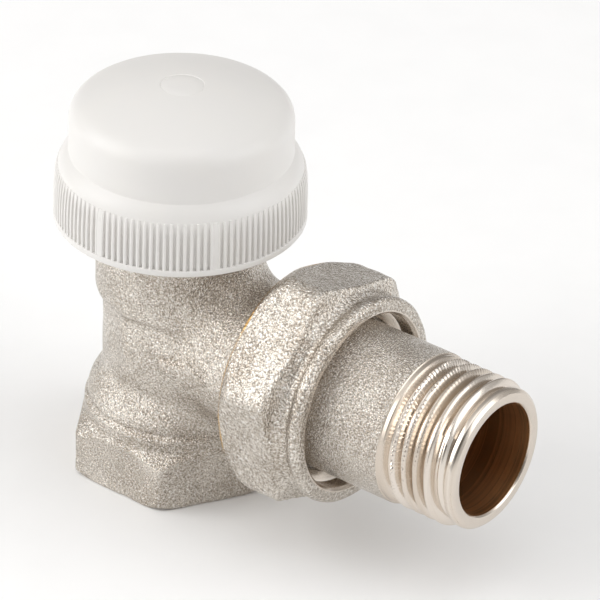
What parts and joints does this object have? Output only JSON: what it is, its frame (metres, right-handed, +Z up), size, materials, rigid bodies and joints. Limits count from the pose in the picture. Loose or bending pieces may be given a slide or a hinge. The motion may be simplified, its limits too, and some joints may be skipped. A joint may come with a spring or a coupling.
{
  "type": "angle radiator valve",
  "caption": "Angle radiator valve: brass body with a hexagon inlet, spring-loaded insert, ribbed screw-down cap, union nut and threaded tail.",
  "frame": {"origin": "centre of the inlet's end face, at the bottom of the inlet hexagon", "axes": "+Z up along the cap, the pin and the inlet; +X out along the union tail"},
  "size_m": [0.0707, 0.0342, 0.0584],
  "materials": {
    "plated_brass": "nickel plated over a fine blasted surface",
    "plain_brass": "turned brass",
    "spring_steel": "bright stainless steel",
    "seal_rubber": "black moulded rubber",
    "cap_plastic": "white satin moulded plastic"
  },
  "bodies": {
    "valve": {"valve_body": "plated_brass", "insert_housing": "plated_brass", "housing_seal": "seal_rubber", "gland_nut": "plain_brass", "gland_seal": "seal_rubber", "pin_seal": "seal_rubber", "spindle_seal": "seal_rubber", "return_spring": "spring_steel"},
    "pin": {"push_pin": "spring_steel", "spindle": "plain_brass", "spring_plate": "spring_steel", "retaining_clip": "spring_steel", "disc_holder": "plain_brass", "disc_washer": "seal_rubber", "disc_nut": "plain_brass"},
    "pad": {"thrust_pad": "spring_steel"},
    "cap": {"hand_cap": "cap_plastic"},
    "seal": {"tail_seal": "seal_rubber"},
    "tail": {"tail_pipe": "plated_brass"},
    "nut": {"union_nut": "plated_brass"}
  },
  "joints": [
    {"name": "pin_travel", "type": "slide", "parent": "valve", "child": "pin", "axis": [0, 0, -1], "range_m": [0, 0.0024], "deforming": ["return_spring"]},
    {"name": "cap_lift", "type": "slide", "parent": "pin", "child": "pad", "axis": [0, 0, 1], "range_m": [0, 0.03]},
    {"name": "cap_turn", "type": "hinge", "parent": "pad", "child": "cap", "pos_m": [0, 0, 0.0388], "axis": [0, 0, -1], "range_deg": [0, 576]},
    {"name": "union_travel", "type": "slide", "parent": "valve", "child": "seal", "axis": [1, 0, 0], "range_m": [0, 0.00726]},
    {"name": "nut_turn", "type": "hinge", "parent": "seal", "child": "nut", "pos_m": [0.0252, 0, 0.0218], "axis": [1, 0, 0], "range_deg": [0, 1440]},
    {"name": "tail_swivel", "type": "hinge", "parent": "seal", "child": "tail", "pos_m": [0.0252, 0, 0.0218], "axis": [1, 0, 0], "continuous": true}
  ],
  "couplings": [
    {"joint": "pin_travel", "follows": "cap_turn", "m_per_rad": 0.0002387},
    {"joint": "union_travel", "follows": "nut_turn", "m_per_rad": 0.0002887}
  ]
}
